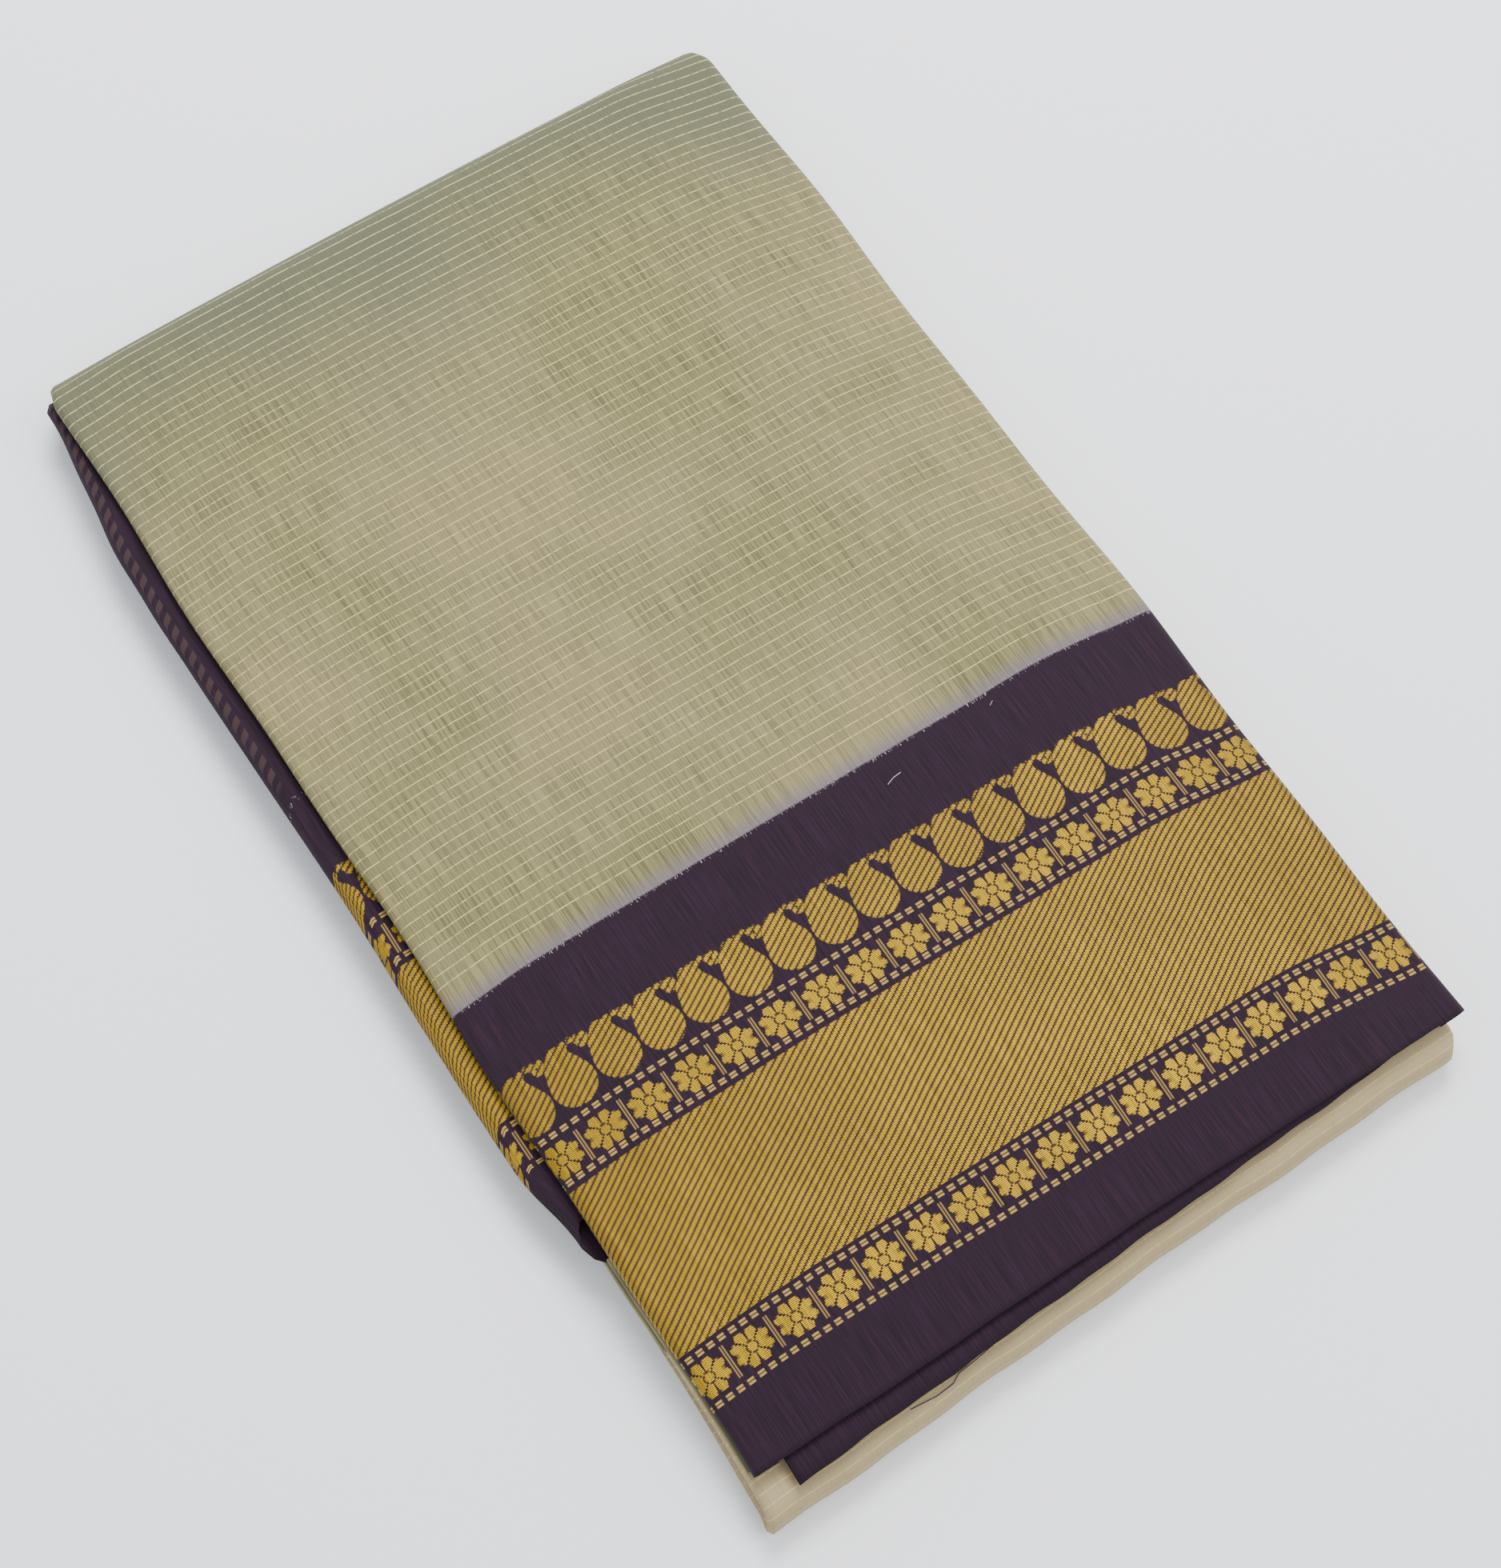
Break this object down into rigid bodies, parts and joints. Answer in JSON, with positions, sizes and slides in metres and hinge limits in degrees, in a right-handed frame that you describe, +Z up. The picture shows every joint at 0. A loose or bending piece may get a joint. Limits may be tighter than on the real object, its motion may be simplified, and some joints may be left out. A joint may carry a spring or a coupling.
{
  "type": "folded cotton saree",
  "caption": "Cotton saree folded into a flat pack: ecru body with fine gold lines and a deep purple border of gold paisleys, flowers and twill.",
  "frame": {"origin": "middle of the pack's box, on the floor", "axes": "+X along the woven border, +Y from the selvedge that shows to the big fold, +Z up"},
  "size_m": [0.248, 0.4044, 0.0209],
  "materials": {
    "body_cotton": "matte",
    "border_cotton": "matte",
    "pallu_cotton": "matte",
    "under_cotton": "matte",
    "inner_cotton": "matte"
  },
  "bodies": {
    "root": {"top_stretch": "body_cotton", "second_stretch": "border_cotton", "pallu_stretch": "pallu_cotton", "under_stretch": "under_cotton", "inner_layers": "inner_cotton"}
  },
  "joints": []
}
